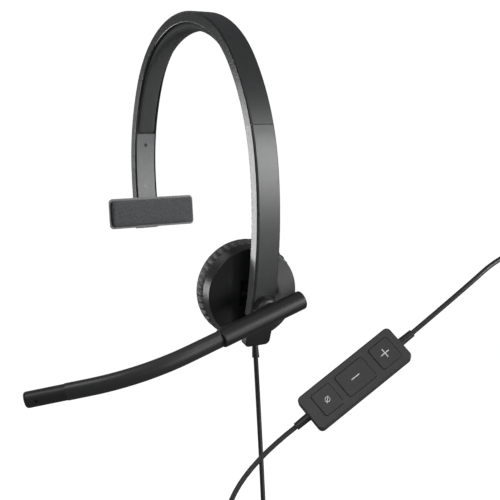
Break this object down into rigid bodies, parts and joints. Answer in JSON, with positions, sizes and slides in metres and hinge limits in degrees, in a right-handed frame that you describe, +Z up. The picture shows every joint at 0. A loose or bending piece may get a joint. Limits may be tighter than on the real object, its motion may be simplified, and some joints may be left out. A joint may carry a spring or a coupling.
{
  "type": "office headset",
  "caption": "Over-the-head office headset with one ear cup, a padded T-bar, a rotating boom microphone, an inline controller with keys and a clip, and a coiled USB lead.",
  "frame": {"origin": "middle of the crown pad's underside, where the headset rests on the head", "axes": "+Z up, +X toward the ear cup's side, -Y toward the wearer's front"},
  "size_m": [0.2356, 0.3517, 0.4129],
  "materials": {
    "soft_touch_black": "soft-touch matte, dark grey",
    "side_grey": "satin light grey",
    "plate_grey": "fine matte grey",
    "black_plastic": "fine textured black",
    "gloss_black": "glossy black",
    "pad_fabric": "woven dark grey cloth over foam",
    "cushion_skin": "pleated leatherette over foam",
    "speaker_cloth": "black acoustic cloth",
    "spring_steel": "spring steel strip",
    "screw_steel": "dark plated screws",
    "bright_steel": "bright plated steel",
    "magnet_steel": "nickel-plated magnet cup",
    "boom_rubber": "dark satin rubber",
    "cord_rubber": "black satin cord jacket",
    "key_rubber": "dark keys with pale marks",
    "circuit_board": "green board lacquer",
    "diaphragm_film": "thin polymer film",
    "contact_gold": "gold-plated contacts",
    "usb_white": "white contact carrier",
    "washer_polymer": "natural low-friction polymer"
  },
  "bodies": {
    "headband": {"headband_outer_cover": "soft_touch_black", "headband_frame": "side_grey", "headband_spring_strip": "spring_steel", "slider_detent_spring": "spring_steel", "head_pad": "pad_fabric", "left_inner_plate": "plate_grey", "left_plate_screws": "screw_steel", "t_bar_bracket": "black_plastic", "t_bar_pin": "bright_steel"},
    "t_bar": {"t_bar_tray": "black_plastic", "t_bar_pad": "pad_fabric"},
    "arm": {"arm_outer_cover": "soft_touch_black", "arm_frame": "side_grey", "slider_strip": "black_plastic", "slider_screws": "screw_steel", "cord_pod": "black_plastic", "cord_pod_screw": "screw_steel", "pod_strain_relief": "cord_rubber", "hub_axle": "black_plastic", "hub_friction_washer": "washer_polymer", "cup_bracket": "black_plastic", "controller_top_shell": "black_plastic", "controller_bottom_shell": "black_plastic", "controller_screws": "screw_steel", "controller_board": "circuit_board", "audio_chip": "black_plastic", "key_switches": "bright_steel", "controller_relief_headset": "cord_rubber", "controller_relief_plug": "cord_rubber", "clip_pin": "bright_steel", "cord_to_controller": "cord_rubber", "cord_to_plug": "cord_rubber", "cord_coil": "cord_rubber", "cord_tie": "black_plastic", "cord_tail": "cord_rubber", "plug_strain_relief": "cord_rubber", "plug_body": "black_plastic", "plug_shell": "bright_steel", "plug_tongue": "usb_white", "plug_contacts": "contact_gold"},
    "boom": {"boom_hub": "black_plastic", "boom_barrel": "black_plastic", "boom_tube": "boom_rubber", "boom_core_wire": "spring_steel", "mic_cap": "black_plastic", "mic_capsule": "magnet_steel", "mic_screen": "bright_steel"},
    "cup_gimbal": {"cup_gimbal": "black_plastic"},
    "ear_cup": {"cup_shell": "gloss_black", "cup_baffle": "black_plastic", "cup_screws": "screw_steel", "speaker_basket": "black_plastic", "speaker_magnet": "magnet_steel", "speaker_diaphragm": "diaphragm_film", "speaker_cloth": "speaker_cloth", "ear_cushion": "cushion_skin"},
    "plus_key": {"plus_key": "key_rubber"},
    "minus_key": {"minus_key": "key_rubber"},
    "mute_key": {"mute_key": "key_rubber"},
    "clip": {"clip_arm": "black_plastic"}
  },
  "joints": [
    {"name": "band_extension", "type": "hinge", "parent": "headband", "child": "arm", "pos_m": [-0.05822, 0, -0.09456], "axis": [0, 1, 0], "range_deg": [0, 10.2]},
    {"name": "t_bar_tilt", "type": "hinge", "parent": "headband", "child": "t_bar", "pos_m": [-0.0719, 0, -0.1175], "axis": [0, 1, 0], "range_deg": [-10, 10]},
    {"name": "boom_rotation", "type": "hinge", "parent": "arm", "child": "boom", "pos_m": [0.07026, 0, -0.17819], "axis": [-0.9494, 0, 0.314], "range_deg": [-40, 230]},
    {"name": "cup_swivel", "type": "hinge", "parent": "arm", "child": "cup_gimbal", "pos_m": [0.05978, 0, -0.16992], "axis": [-0.2957, 0, -0.9553], "range_deg": [-22, 4]},
    {"name": "cup_tilt", "type": "hinge", "parent": "cup_gimbal", "child": "ear_cup", "pos_m": [0.05978, 0, -0.16992], "axis": [-0.2051, -0.9767, 0.0635], "range_deg": [-10, 1]},
    {"name": "plus_key_press", "type": "slide", "parent": "arm", "child": "plus_key", "axis": [-0.7081, 0.5685, -0.4189], "range_m": [0, 0.00045], "stiffness_N_per_m": 2200, "springref_m": -0.0002},
    {"name": "minus_key_press", "type": "slide", "parent": "arm", "child": "minus_key", "axis": [-0.7081, 0.5685, -0.4189], "range_m": [0, 0.00045], "stiffness_N_per_m": 2200, "springref_m": -0.0002},
    {"name": "mute_key_press", "type": "slide", "parent": "arm", "child": "mute_key", "axis": [-0.7081, 0.5685, -0.4189], "range_m": [0, 0.00045], "stiffness_N_per_m": 2200, "springref_m": -0.0002},
    {"name": "clip_open", "type": "hinge", "parent": "arm", "child": "clip", "pos_m": [0.11375, 0.03938, -0.22034], "axis": [0.6391, 0.2637, -0.7225], "range_deg": [0, 9], "stiffness_Nm_per_rad": 0.3, "springref_deg": -22.92}
  ]
}
